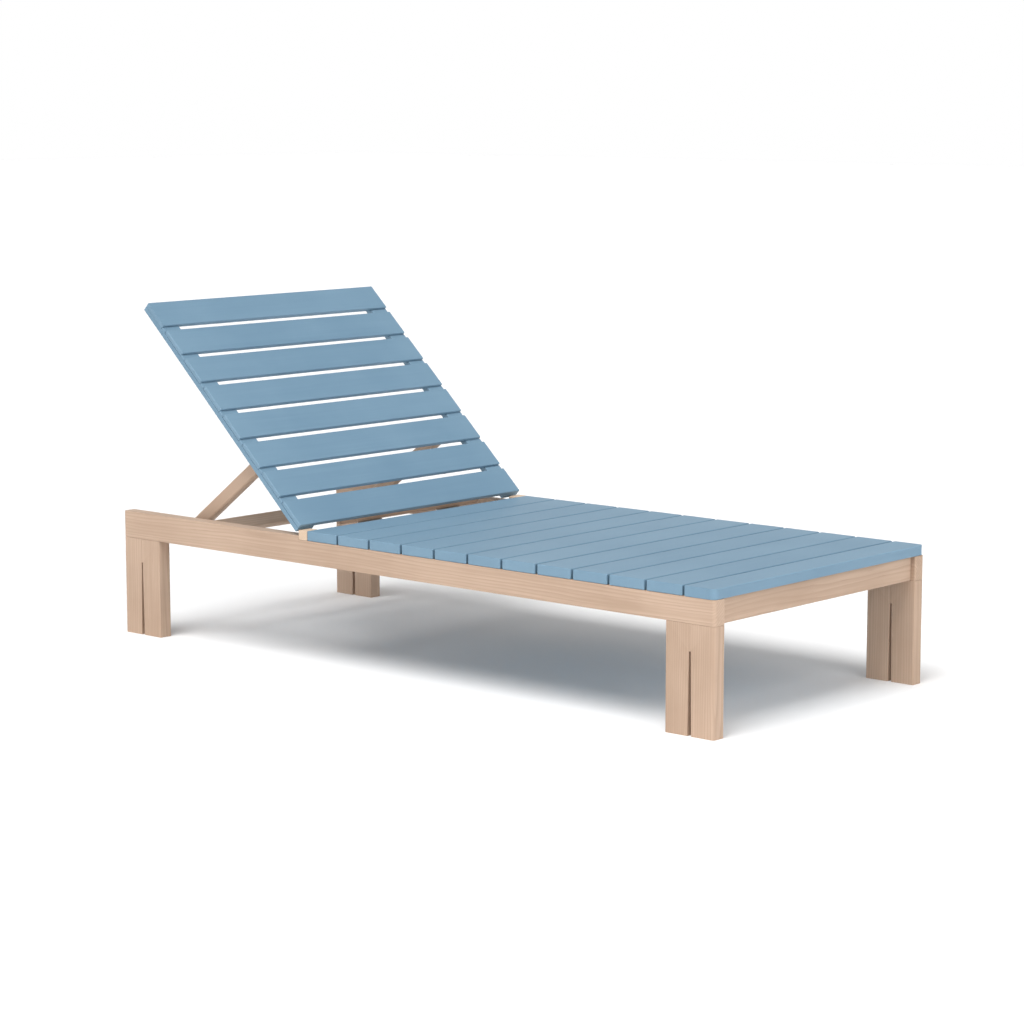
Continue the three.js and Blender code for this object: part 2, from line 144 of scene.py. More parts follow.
class NodeTree:
    """Adds nodes to one shader or geometry tree."""

    def __init__(self, tree: bpy.types.NodeTree) -> None:
        """Keeps the tree and empties it."""
        self.tree = tree
        tree.nodes.clear()

    def add(self, kind: str, settings: dict[str, Any] | None = None,
            inputs: dict[Any, Any] | None = None) -> bpy.types.Node:
        """Adds a node, sets it up, then feeds its sockets.

        Args:
            kind: the node's type name.
            settings: properties to set first; "stops" fills a colour ramp.
            inputs: socket name or index to a value, socket, node output or signal.

        Returns:
            The node.
        """
        node = self.tree.nodes.new(kind)
        for key, value in (settings or {}).items():
            if key == "stops":
                self._fill_ramp(node.color_ramp, value)
            else:
                setattr(node, key, value)
        for key, value in (inputs or {}).items():
            self.feed(node.inputs[key], value)
        return node

    def feed(self, socket: bpy.types.NodeSocket, value: Any) -> None:
        """Links a socket or signal to an input, or sets the input's own value.

        Args:
            socket: the input.
            value: a signal, an output socket, or a plain value.
        """
        if isinstance(value, Signal):
            value = value.socket
        if isinstance(value, bpy.types.NodeSocket):
            self.tree.links.new(value, socket)
            return
        if socket.type == "RGBA" and len(value) == 3:
            value = (*value, 1.0)
        socket.default_value = value

    @staticmethod
    def _fill_ramp(ramp: bpy.types.ColorRamp, stops: Sequence[tuple[float, Colour]]) -> None:
        """Gives a ramp the stops (position, colour)."""
        while len(ramp.elements) < len(stops):
            ramp.elements.new(0.5)
        for element, (position, colour) in zip(ramp.elements, stops):
            element.position = position
            element.color = (*colour, 1.0)


class Shader(NodeTree):
    """The shader tree of one new material."""

    def __init__(self, name: str) -> None:
        """Makes the material with a Principled surface."""
        self.material = bpy.data.materials.new(name)
        self.material.use_nodes = True
        super().__init__(self.material.node_tree)
        self.surface = self.add("ShaderNodeBsdfPrincipled")
        output = self.add("ShaderNodeOutputMaterial")
        self.feed(output.inputs["Surface"], self.surface.outputs[0])

    def place(self, turn: Euler, scale: Vector, shift: Vector) -> bpy.types.NodeSocket:
        """Object coordinates turned so that the grain runs along X, then stretched and shifted.

        Args:
            turn: the rotation that brings the grain to X.
            scale: pattern cells per metre along and across the grain.
            shift: an offset that gives each board its own piece of the pattern.

        Returns:
            The vector to feed a texture.
        """
        coordinates = self.add("ShaderNodeTexCoord").outputs["Object"]
        turned = self.add("ShaderNodeMapping", None, {"Vector": coordinates, "Rotation": turn}).outputs[0]
        return self.add("ShaderNodeMapping", None,
                        {"Vector": turned, "Location": shift, "Scale": scale}).outputs[0]

    def moved(self, vector: bpy.types.NodeSocket, offset: bpy.types.NodeSocket) -> bpy.types.NodeSocket:
        """Adds one vector to another."""
        return self.add("ShaderNodeVectorMath", {"operation": "ADD"}, {0: vector, 1: offset}).outputs[0]

    def noise(self, vector: bpy.types.NodeSocket, scale: float, detail: float = 2.0,
              roughness: float = 0.5, distortion: float = 0.0) -> Signal:
        """A noise texture's value from 0 to 1."""
        node = self.add("ShaderNodeTexNoise", None, {"Vector": vector, "Scale": scale, "Detail": detail,
                                                     "Roughness": roughness, "Distortion": distortion})
        return Signal(self, node.outputs[0])

    def mix(self, factor: Any, first: Any, second: Any) -> bpy.types.NodeSocket:
        """Mixes two colours by a factor."""
        node = self.add("ShaderNodeMix", {"data_type": "RGBA", "clamp_factor": True},
                        {0: factor, 6: first, 7: second})
        return node.outputs[2]

    def bump(self, height: Signal, depth: float) -> None:
        """Feeds the surface's normal with a bump.

        Args:
            height: the height from 0 to 1.
            depth: what 1 stands for, in metres.
        """
        node = self.add("ShaderNodeBump", None, {"Height": height, "Distance": depth, "Strength": 1.0})
        self.feed(self.surface.inputs["Normal"], node.outputs[0])

    def corners(self) -> Signal:
        """How sharply the surface turns outwards, 0.5 where it is flat."""
        return Signal(self, self.add("ShaderNodeNewGeometry").outputs["Pointiness"])


class Grain(Enum):
    """The way a board's grain runs, as the rotation that brings it to X."""

    ALONG_X = (0.0, 0.0, 0.0)
    ALONG_Y = (0.0, 0.0, -math.pi / 2)
    ALONG_Z = (0.0, math.pi / 2, 0.0)


def board_turn(grain: Grain, lean: float) -> Euler:
    """The rotation that brings a board's grain to X.

    Args:
        grain: the way it runs on a level board.
        lean: how far the board leans about Y, in radians.

    Returns:
        The rotation.
    """
    level = Euler(grain.value)
    return Euler((level[0], level[1] + lean, level[2]))


def scatter(index: int, step: float) -> float:
    """A steady number between 0 and 1 for one index, unlike its neighbours'."""
    return (index * step + SEED * 0.173) % 1.0


@dataclass(frozen=True)
class TimberFinish:
    """Oiled hardwood with growth rings, streaks, pores and end grain, plus a painted highlight on its edges
    and painted shade in its hollows.
    """

    name: str
    pale: Colour
    body: Colour
    dark: Colour
    ring_pitch: float = 0.0062
    ring_strength: float = 0.34
    roughness: float = 0.56

    def material(self, board: int, grain: Grain, lean: float = 0.0) -> bpy.types.Material:
        """Makes one board's own material.

        Args:
            board: the board's number, which picks its piece of the pattern.
            grain: the way its grain runs.
            lean: its lean about Y, in radians.

        Returns:
            The material.
        """
        shader = Shader(f"{self.name}_{board:02d}")
        turn = board_turn(grain, lean)
        shift = Vector((scatter(board, 0.618) * 9, scatter(board, 0.377) * 7, scatter(board, 0.239) * 5))
        even = shader.place(turn, Vector((1.0, 1.0, 1.0)), shift)
        long_flow = shader.place(turn, Vector((1.1, 9.0, 9.0)), shift)
        fibre = shader.place(turn, Vector((14.0, 620.0, 620.0)), shift)
        streak = shader.place(turn, Vector((2.2, 92.0, 92.0)), shift)

        wander = shader.noise(long_flow, 1.0, 3.0, 0.55) - 0.5
        pith = Vector((0.0, 0.035 + 0.05 * scatter(board, 0.731), 0.055 + 0.06 * scatter(board, 0.457)))
        core = shader.place(turn, Vector((0.02, 1.0, 1.0)), pith)
        split = shader.add("ShaderNodeSeparateXYZ", None, {0: core})
        across, deep = Signal(shader, split.outputs[1]), Signal(shader, split.outputs[2])
        radius = (across * across + deep * deep) ** 0.5 + wander * 0.036
        ring = (radius / self.ring_pitch).fraction()
        late = ring.step(0.35, 0.92) * (1.0 - ring.step(0.93, 1.0))

        streaks = shader.noise(streak, 1.0, 4.0, 0.62)
        fibres = shader.noise(fibre, 1.0, 2.0, 0.5)
        clouds = shader.noise(even, 3.4, 3.0, 0.5)
        pores = fibres.step(0.63, 0.72) * streaks.step(0.42, 0.66)

        tone = clouds * 0.45 + streaks * 0.55 + (scatter(board, 0.829) - 0.5) * 0.10
        colour = shader.mix(tone.step(0.30, 0.72), self.body, self.pale)
        colour = shader.mix(late * self.ring_strength * streaks.step(0.25, 0.75), colour, self.dark)
        colour = shader.mix(pores * 0.34, colour, self.dark)
        # Painted highlight: sharp outer edges are lightened towards the pale colour, standing in for light
        # caught on the arrises.
        painted_edge_highlight = shader.corners().step(0.52, 0.60)
        colour = shader.mix(painted_edge_highlight * 0.35, colour, self.pale)
        # Painted shade: inner corners and hollows are darkened towards the dark colour, standing in for the
        # shade that falls there.
        painted_crevice_shade = 1.0 - shader.corners().step(0.40, 0.49)
        colour = shader.mix(painted_crevice_shade * 0.4, colour, self.dark)

        shader.feed(shader.surface.inputs["Base Color"], colour)
        shader.feed(shader.surface.inputs["Roughness"],
                    (self.roughness + late * 0.05 + pores * 0.16 + (clouds - 0.5) * 0.14).clamped())
        shader.surface.inputs["Specular IOR Level"].default_value = 0.32
        shader.bump(streaks * 0.5 + fibres * 0.35 - pores * 0.7 + late * 0.25, 0.00035)
        return shader.material


@dataclass(frozen=True)
class PaintFinish:
    """Matt outdoor paint brushed on wood, with the grain showing through faintly, a painted highlight on its
    arrises and painted shade in its hollows.
    """

    name: str
    body: Colour
    light: Colour
    deep: Colour
    roughness: float = 0.47

    def material(self, board: int, grain: Grain, lean: float = 0.0,
                 by_board: bool = False) -> bpy.types.Material:
        """Makes the paint for one board, or for a row of boards.

        Args:
            board: the board's number, which picks its piece of the pattern.
            grain: the way its grain runs.
            lean: its lean about Y, in radians.
            by_board: whether the mesh tells its boards apart with the attribute "board".

        Returns:
            The material.
        """
        shader = Shader(f"{self.name}_{board:02d}")
        turn = board_turn(grain, lean)
        shift = Vector((scatter(board, 0.618) * 9, scatter(board, 0.377) * 7, scatter(board, 0.239) * 5))
        even = shader.place(turn, Vector((1.0, 1.0, 1.0)), shift)
        brushed = shader.place(turn, Vector((3.0, 210.0, 210.0)), shift)
        figure = shader.place(turn, Vector((1.6, 34.0, 34.0)), shift)
        tint = Signal(shader, shader.add("ShaderNodeValue").outputs[0])
        tint.socket.default_value = scatter(board, 0.829)
        if by_board:
            own = shader.add("ShaderNodeAttribute", {"attribute_type": "GEOMETRY", "attribute_name": "board"})
            tint = Signal(shader, own.outputs["Fac"])
            jump = shader.add("ShaderNodeCombineXYZ", None, {0: tint * 31.0, 1: tint * 17.0, 2: tint * 23.0})
            brushed = shader.moved(brushed, jump.outputs[0])
            figure = shader.moved(figure, jump.outputs[0])

        strokes = shader.noise(brushed, 1.0, 3.0, 0.6)
        lines = shader.noise(figure, 1.0, 5.0, 0.62, 0.6)
        clouds = shader.noise(even, 5.0, 3.0, 0.5)
        speck = shader.noise(even, 420.0, 1.0, 0.5).step(0.70, 0.78)

        tone = clouds * 0.45 + lines * 0.3 + strokes * 0.25 + (tint - 0.5) * 0.14
        colour = shader.mix(tone.step(0.28, 0.72), self.deep, self.light)
        colour = shader.mix(0.6, colour, self.body)
        colour = shader.mix(speck * 0.18, colour, self.light)
        # Painted highlight: sharp outer edges are lightened towards the light colour, standing in for light
        # caught on the arrises.
        painted_edge_highlight = shader.corners().step(0.515, 0.60)
        colour = shader.mix(painted_edge_highlight * 0.55, colour, self.light)
        # Painted shade: inner corners and hollows are darkened towards the deep colour, standing in for the
        # shade that falls there.
        painted_crevice_shade = 1.0 - shader.corners().step(0.42, 0.49)
        colour = shader.mix(painted_crevice_shade * 0.6, colour, self.deep)

        shader.feed(shader.surface.inputs["Base Color"], colour)
        shader.feed(shader.surface.inputs["Roughness"],
                    (self.roughness + (strokes - 0.5) * 0.16 + (lines - 0.5) * 0.1 + speck * 0.08).clamped())
        shader.surface.inputs["Specular IOR Level"].default_value = 0.42
        shader.bump(lines * 0.6 + strokes * 0.4 + speck * 0.15, 0.00022)
        return shader.material


@dataclass(frozen=True)
class SteelFinish:
    """Satin stainless steel with fine brushing, faint weather spots and a painted highlight on its edges."""

    name: str
    body: Colour
    dull: Colour

    def material(self, part: int) -> bpy.types.Material:
        """Makes the steel's material.

        Args:
            part: the part's number, which picks its piece of the pattern.

        Returns:
            The material.
        """
        shader = Shader(f"{self.name}_{part:02d}")
        shift = Vector((scatter(part, 0.618), scatter(part, 0.377), scatter(part, 0.239)))
        brushed = shader.place(Euler((0, 0, 0)), Vector((2400.0, 70.0, 2400.0)), shift)
        even = shader.place(Euler((0, 0, 0)), Vector((1.0, 1.0, 1.0)), shift)
        lines = shader.noise(brushed, 1.0, 2.0, 0.5)
        spots = shader.noise(even, 190.0, 3.0, 0.6).step(0.56, 0.74)
        colour = shader.mix(spots * 0.6, self.body, self.dull)
        # Painted highlight: sharp outer edges are lightened towards pale grey, standing in for light caught
        # on them.
        painted_edge_highlight = shader.corners().step(0.52, 0.62)
        colour = shader.mix(painted_edge_highlight * 0.4, colour, (0.82, 0.82, 0.80))
        shader.feed(shader.surface.inputs["Base Color"], colour)
        shader.feed(shader.surface.inputs["Metallic"], 1.0 - spots * 0.25)
        shader.feed(shader.surface.inputs["Roughness"], (0.24 + lines * 0.22 + spots * 0.2).clamped())
        shader.bump(lines, 0.00004)
        return shader.material


# ---------------------------------------------------------------------------------------------
# Geometry Nodes
# ---------------------------------------------------------------------------------------------


class GeometryTree(NodeTree):
    """A Geometry Nodes tree with named inputs."""

    def __init__(self, name: str, sockets: dict[str, str]) -> None:
        """Makes the group and its inputs.

        Args:
            name: the group's name.
            sockets: input name to socket type.
        """
        group = bpy.data.node_groups.new(name, "GeometryNodeTree")
        super().__init__(group)
        group.interface.new_socket("Geometry", in_out="INPUT", socket_type="NodeSocketGeometry")
        for title, kind in sockets.items():
            group.interface.new_socket(title, in_out="INPUT", socket_type=kind)
        group.interface.new_socket("Geometry", in_out="OUTPUT", socket_type="NodeSocketGeometry")
        self.inputs = self.add("NodeGroupInput")
        self.output = self.add("NodeGroupOutput")

    def given(self, title: str) -> bpy.types.NodeSocket:
        """The group input of that name."""
        return self.inputs.outputs[title]

    def finish(self, geometry: bpy.types.NodeSocket, material: str | None = "Material") -> None:
        """Ends the tree with real geometry in its material.

        Args:
            geometry: the geometry to put out.
            material: the input holding the material, or None to keep the one it has.
        """
        if material is not None:
            geometry = self.add("GeometryNodeRealizeInstances", None, {"Geometry": geometry}).outputs[0]
            geometry = self.add("GeometryNodeSetMaterial", None,
                                {"Geometry": geometry, "Material": self.given(material)}).outputs[0]
        self.feed(self.output.inputs[0], geometry)

    def attach(self, obj: bpy.types.Object, values: dict[str, Any]) -> bpy.types.Modifier:
        """Adds the tree to an object and sets its inputs by their identifiers.

        Args:
            obj: the object that takes the modifier.
            values: input name to value.

        Returns:
            The modifier.
        """
        modifier = obj.modifiers.new(self.tree.name, "NODES")
        modifier.node_group = self.tree
        for item in self.tree.interface.items_tree:
            if item.item_type == "SOCKET" and item.in_out == "INPUT" and item.name in values:
                modifier[item.identifier] = values[item.name]
        return modifier


def board_row_tree() -> GeometryTree:
    """A row of equal boards side by side along X, each board told apart by the attribute "board".

    Returns:
        The tree, with inputs Count, Pitch, Start, Width, Length, Thickness, Wander, Seed and Material.
    """
    tree = GeometryTree("board_row", {
        "Count": "NodeSocketInt", "Pitch": "NodeSocketFloat", "Start": "NodeSocketVector",
        "Width": "NodeSocketFloat", "Length": "NodeSocketFloat", "Thickness": "NodeSocketFloat",
        "Wander": "NodeSocketFloat", "Seed": "NodeSocketInt", "Material": "NodeSocketMaterial",
    })
    step = tree.add("ShaderNodeCombineXYZ", None, {0: tree.given("Pitch")}).outputs[0]
    line = tree.add("GeometryNodeMeshLine", {"mode": "OFFSET"},
                    {"Count": tree.given("Count"), "Start Location": tree.given("Start"), "Offset": step})
    size = tree.add("ShaderNodeCombineXYZ", None,
                    {0: tree.given("Width"), 1: tree.given("Length"), 2: tree.given("Thickness")}).outputs[0]
    board = tree.add("GeometryNodeMeshCube", None, {"Size": size, "Vertices Y": 9})
    row = tree.add("GeometryNodeInstanceOnPoints", None,
                   {"Points": line.outputs[0], "Instance": board.outputs[0]})
    wander = tree.given("Wander")
    spread = tree.add("ShaderNodeCombineXYZ", None, {0: wander, 1: wander}).outputs[0]
    back = tree.add("ShaderNodeVectorMath", {"operation": "SCALE"}, {0: spread, "Scale": -1.0}).outputs[0]
    nudge = tree.add("FunctionNodeRandomValue", {"data_type": "FLOAT_VECTOR"},
                     {"Min": back, "Max": spread, "Seed": tree.given("Seed")})
    moved = tree.add("GeometryNodeTranslateInstances", None,
                     {"Instances": row.outputs[0], "Translation": nudge.outputs[0]})
    pick = tree.add("FunctionNodeRandomValue", {"data_type": "FLOAT"}, {"Seed": tree.given("Seed")})
    named = tree.add("GeometryNodeStoreNamedAttribute", {"data_type": "FLOAT", "domain": "INSTANCE"},
                     {"Geometry": moved.outputs[0], "Name": "board", "Value": pick.outputs[1]})
    tree.finish(named.outputs[0])
    return tree


def screw_grid_tree() -> GeometryTree:
    """Screw heads on a grid in the XY plane, heads towards +Z, each turned its own way.

    Returns:
        The tree, with inputs Columns, Rows, Column Pitch, Row Pitch, Head, Seed and Material.
    """
    tree = GeometryTree("screw_grid", {
        "Columns": "NodeSocketInt", "Rows": "NodeSocketInt", "Column Pitch": "NodeSocketFloat",
        "Row Pitch": "NodeSocketFloat", "Head": "NodeSocketObject", "Seed": "NodeSocketInt",
        "Material": "NodeSocketMaterial",
    })
    column_step = tree.add("ShaderNodeCombineXYZ", None, {0: tree.given("Column Pitch")}).outputs[0]
    row_step = tree.add("ShaderNodeCombineXYZ", None, {1: tree.given("Row Pitch")}).outputs[0]
    columns = tree.add("GeometryNodeMeshLine", {"mode": "OFFSET"},
                       {"Count": tree.given("Columns"), "Offset": column_step})
    rows = tree.add("GeometryNodeMeshLine", {"mode": "OFFSET"},
                    {"Count": tree.given("Rows"), "Offset": row_step})
    grid = tree.add("GeometryNodeInstanceOnPoints", None,
                    {"Points": rows.outputs[0], "Instance": columns.outputs[0]})
    points = tree.add("GeometryNodeRealizeInstances", None, {"Geometry": grid.outputs[0]})
    head = tree.add("GeometryNodeObjectInfo", {"transform_space": "ORIGINAL"}, {"Object": tree.given("Head")})
    twist = tree.add("FunctionNodeRandomValue", {"data_type": "FLOAT"},
                     {"Seed": tree.given("Seed"), 2: 0.0, 3: math.tau})
    turn = tree.add("ShaderNodeCombineXYZ", None, {2: twist.outputs[1]})
    screws = tree.add("GeometryNodeInstanceOnPoints", None,
                      {"Points": points.outputs[0], "Instance": head.outputs["Geometry"],
                       "Rotation": turn.outputs[0]})
    tree.finish(screws.outputs[0])
    return tree


def smooth_tree() -> GeometryTree:
    """Smooth shading, kept sharp at edges steeper than the input Angle.

    Returns:
        The tree.
    """
    tree = GeometryTree("soft_shading", {"Angle": "NodeSocketFloat"})
    angle = tree.add("GeometryNodeInputMeshEdgeAngle").outputs[0]
    gentle = tree.add("FunctionNodeCompare", {"data_type": "FLOAT", "operation": "LESS_EQUAL"},
                      {0: angle, 1: tree.given("Angle")}).outputs[0]
    faces = tree.add("GeometryNodeSetShadeSmooth", {"domain": "FACE"},
                     {"Geometry": tree.inputs.outputs[0], "Shade Smooth": True})
    edges = tree.add("GeometryNodeSetShadeSmooth", {"domain": "EDGE"},
                     {"Geometry": faces.outputs[0], "Shade Smooth": gentle})
    tree.finish(edges.outputs[0], None)
    return tree


@dataclass
class Workshop:
    """The shared trees, the screw head and the finishes."""

    timber: TimberFinish
    paint: PaintFinish
    pale_timber: TimberFinish
    steel: SteelFinish

    def __post_init__(self) -> None:
        """Builds the trees and the screw head."""
        self.boards = board_row_tree()
        self.screws = screw_grid_tree()
        self.smooth = smooth_tree()
        self.count = 0
        self.head = self._screw_head(radius=0.0042, height=0.0009)

    def next_board(self) -> int:
        """A new board number."""
        self.count += 1
        return self.count

    def soften(self, obj: bpy.types.Object, radius: float, welded: bool = True) -> None:
        """Rounds a piece's arrises slightly and shades it smoothly.

        Args:
            obj: the piece.
            radius: width of the rounding, in metres.
            welded: whether its loose triangles are joined first.
        """
        if welded:
            obj.modifiers.new("weld", "WELD").merge_threshold = 1e-5
            flat = obj.modifiers.new("flat_faces", "DECIMATE")
            flat.decimate_type = "DISSOLVE"
            flat.angle_limit = math.radians(0.6)
        bevel = obj.modifiers.new("arris", "BEVEL")
        bevel.width = radius
        bevel.segments = 2
        bevel.limit_method = "ANGLE"
        bevel.angle_limit = math.radians(32)
        self.smooth.attach(obj, {"Angle": math.radians(52)})
        weighted = obj.modifiers.new("even_normals", "WEIGHTED_NORMAL")
        weighted.keep_sharp = True

    def plain_mesh(self, maker: bpy.types.Object, name: str, place: Matrix) -> bpy.types.Object:
        """Turns an evaluated object into a plain mesh object set in its place.

        Args:
            maker: the object with the Geometry Nodes modifier, which is removed.
            name: the new piece's name.
            place: where the mesh goes.

        Returns:
            The new piece.
        """
        bpy.context.view_layer.update()
        graph = bpy.context.evaluated_depsgraph_get()
        mesh = bpy.data.meshes.new_from_object(maker.evaluated_get(graph), depsgraph=graph)
        mesh.transform(place)
        mesh.name = name
        piece = bpy.data.objects.new(name, mesh)
        bpy.context.scene.collection.objects.link(piece)
        bpy.data.objects.remove(maker)
        return piece

    def maker(self, name: str) -> bpy.types.Object:
        """An empty mesh object for a Geometry Nodes modifier to fill."""
        obj = bpy.data.objects.new(f"{name}_maker", bpy.data.meshes.new(f"{name}_maker"))
        bpy.context.scene.collection.objects.link(obj)
        return obj

    def board_row(self, name: str, count: int, pitch: float, start: Vector, size: Vector,
                  material: bpy.types.Material, place: Matrix = Matrix.Identity(4)) -> bpy.types.Object:
        """Makes a row of boards.

        Args:
            name: the piece's name.
            count: how many boards.
            pitch: board to board along X.
            start: the first board's centre.
            size: one board along X, Y and Z.
            material: its finish.
            place: where the row goes.

        Returns:
            The piece.
        """
        maker = self.maker(name)
        self.boards.attach(maker, {
            "Count": count, "Pitch": pitch, "Start": start, "Width": size.x, "Length": size.y,
            "Thickness": size.z, "Wander": 0.0003, "Seed": SEED + count, "Material": material,
        })
        return self.plain_mesh(maker, name, place)

    def screw_rows(self, name: str, grids: Sequence["ScrewGrid"], body: str) -> bpy.types.Object:
        """Makes the screws of one body as one piece.

        Args:
            name: the piece's name.
            grids: where the screws go.
            body: the CAD body they ride on.

        Returns:
            The piece.
        """
        material = self.steel.material(self.next_board())
        parts = []
        for index, grid in enumerate(grids):
            maker = self.maker(name)
            self.screws.attach(maker, {
                "Columns": grid.columns, "Rows": grid.rows, "Column Pitch": grid.column_pitch,
                "Row Pitch": grid.row_pitch, "Head": self.head, "Seed": SEED + index, "Material": material,
            })
            parts.append(self.plain_mesh(maker, f"{name}_{index}", grid.place()))
        joined = bmesh.new()
        for part in parts:
            joined.from_mesh(part.data)
            bpy.data.objects.remove(part)
        mesh = bpy.data.meshes.new(name)
        joined.to_mesh(mesh)
        joined.free()
        mesh.materials.append(material)
        piece = bpy.data.objects.new(name, mesh)
        bpy.context.scene.collection.objects.link(piece)
        self.smooth.attach(piece, {"Angle": math.radians(30)})
        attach(piece, body)
        LOG.info("%s: %d grids of screws on %s", name, len(grids), body)
        return piece

    def _screw_head(self, radius: float, height: float) -> bpy.types.Object:
        """A low domed screw head with a cross recess, heading +Z.

        Args:
            radius: the head's radius.
            height: how far it stands proud.

        Returns:
            The head, which isn't rendered itself.
        """
        sides = 24
        mesh = bmesh.new()

        def ring(scale: float, z: float, cross: float) -> list[bmesh.types.BMVert]:
            """One ring of vertices, round or cross-shaped."""
            made = []
            for i in range(sides):
                a = math.tau * i / sides
                arm = abs(math.cos(2 * a)) ** 3
                r = radius * scale * (1 - cross + cross * (0.35 + 0.65 * arm))
                made.append(mesh.verts.new((r * math.cos(a), r * math.sin(a), z)))
            return made

        rings = [ring(0.8, -0.002, 0), ring(1.0, 0.0, 0), ring(0.93, height * 0.7, 0), ring(0.72, height, 0),
                 ring(0.6, height, 1), ring(0.42, -height * 1.1, 1)]
        for lower, upper in zip(rings, rings[1:]):
            for i in range(sides):
                j = (i + 1) % sides
                mesh.faces.new((lower[i], lower[j], upper[j], upper[i]))
        mesh.faces.new(list(reversed(rings[0])))
        mesh.faces.new(rings[-1])
        bmesh.ops.recalc_face_normals(mesh, faces=mesh.faces)
        data = bpy.data.meshes.new("screw_head")
        mesh.to_mesh(data)
        mesh.free()
        head = bpy.data.objects.new("screw_head_pattern", data)
        bpy.context.scene.collection.objects.link(head)
        return head

    def put_away(self) -> None:
        """Removes the screw head that the grids were made from."""
        bpy.data.objects.remove(self.head)


@dataclass
class ScrewGrid:
    """A grid of screws: where its first head sits and which way the grid and the heads face."""

    first: Vector
    along: Vector
    facing: Vector
    columns: int
    column_pitch: float
    rows: int = 1
    row_pitch: float = 0.0
    turn: Matrix | None = None

    def place(self) -> Matrix:
        """The matrix from the grid's own plane to the lounger."""
        side = self.facing.cross(self.along)
        basis = Matrix((self.along, side, self.facing)).transposed().to_4x4()
        place = Matrix.Translation(self.first) @ basis
        return place if self.turn is None else self.turn @ place


# ---------------------------------------------------------------------------------------------
# Sub-assemblies
# ---------------------------------------------------------------------------------------------

SIDES = (("right", -1), ("left", 1))
ENDS = ("head", "foot")


def dress(node: str, material: bpy.types.Material) -> bpy.types.Object:
    """Gives a CAD node its finish.

    Args:
        node: the node's name.
        material: its finish.

    Returns:
        The node's object.
    """
    obj = frame["nodes"][node]
    obj.data.materials.clear()
    obj.data.materials.append(material)
    return obj


def joint(name: str) -> dict[str, Any]:
    """The record's joint of that name."""
    return next(j for j in frame["joints"] if j["name"] == name)


@dataclass
class TimberFrame:
    """Side rails, legs, cross rails, cleats, racks and hinge blocks."""

    arris: float = 0.0008
    rail_arris: float = 0.0012
    rack_screw_inset: float = 0.040
    rack_screw_rise: float = 0.005

    def dress(self, shop: Workshop) -> None:
        """Finishes the frame's timbers.

        Args:
            shop: the shared trees and finishes.
        """
        for side, _ in SIDES:
            self._timber(shop, f"{side}_side_rail", Grain.ALONG_X, self.rail_arris)
            for end in ENDS:
                for board in ("head_board", "foot_board", "tenon"):
                    self._timber(shop, f"{side}_{end}_leg_{board}", Grain.ALONG_Z, self.arris)
            self._timber(shop, f"{side}_seat_cleat", Grain.ALONG_X, self.arris)
            self._timber(shop, f"{side}_rack", Grain.ALONG_X, self.arris)
            block = dress(f"{side}_hinge_block", shop.pale_timber.material(shop.next_board(), Grain.ALONG_Y))
            shop.soften(block, self.arris)
        for node in ("foot_apron", "head_tie_rail", "hinge_rail"):
            self._timber(shop, node, Grain.ALONG_Y, self.arris)
        LOG.info("timber frame dressed")

    def _timber(self, shop: Workshop, node: str, grain: Grain, arris: float) -> None:
        """Finishes one timber."""
        shop.soften(dress(node, shop.timber.material(shop.next_board(), grain)), arris)

    def fasten(self, slats: int) -> list[ScrewGrid]:
        """Places the frame's screws.

        Args:
            slats: how many seat slats the cleats carry.

        Returns:
            The screw grids.
        """
        grids = []
        first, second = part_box("seat_slat_01"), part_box("seat_slat_02")
        pitch = second[0].x - first[0].x
        for side, sign in SIDES:
            low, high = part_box(f"{side}_seat_cleat")
            x = (first[0].x + first[1].x) / 2
            grids.append(ScrewGrid(Vector((x, (low.y + high.y) / 2, low.z)), Vector((1, 0, 0)),
                                   Vector((0, 0, -1)), slats, pitch))
            inner = low.y if sign > 0 else high.y
            grids.append(ScrewGrid(Vector((x + pitch / 2, inner, (low.z + high.z) / 2)), Vector((1, 0, 0)),
                                   Vector((0, -sign, 0)), slats // 2, pitch * 2))
            low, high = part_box(f"{side}_rack")
            inner = low.y if sign > 0 else high.y
            span = high.x - low.x - 2 * self.rack_screw_inset
            start = Vector((low.x + self.rack_screw_inset, inner, low.z + self.rack_screw_rise))
            grids.append(ScrewGrid(start, Vector((1, 0, 0)), Vector((0, -sign, 0)), 3, span / 2))
        return grids


@dataclass
class SeatDeck:
    """Twelve painted slats across the rails, the foot slat with rounded corners."""

    slats: int = 12
    arris: float = 0.0021

    def build(self, shop: Workshop) -> None:
        """Makes the equal slats as a row and finishes the foot slat.

        Args:
            shop: the shared trees and finishes.
        """
        low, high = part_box("seat_slat_01")
        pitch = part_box("seat_slat_02")[0].x - low.x
        material = shop.paint.material(shop.next_board(), Grain.ALONG_Y, by_board=True)
        names = [f"seat_slat_{i:02d}" for i in range(1, self.slats)]
        row = shop.board_row("seat_slats", len(names), pitch, (low + high) / 2, high - low, material)
        shop.soften(row, self.arris, welded=False)
        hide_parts(*names)
        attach(row, "frame")
        foot = dress(f"seat_slat_{self.slats:02d}", shop.paint.material(shop.next_board(), Grain.ALONG_Y))
        shop.soften(foot, self.arris * 0.6)
        LOG.info("seat deck: %d equal slats and a foot slat", len(names))


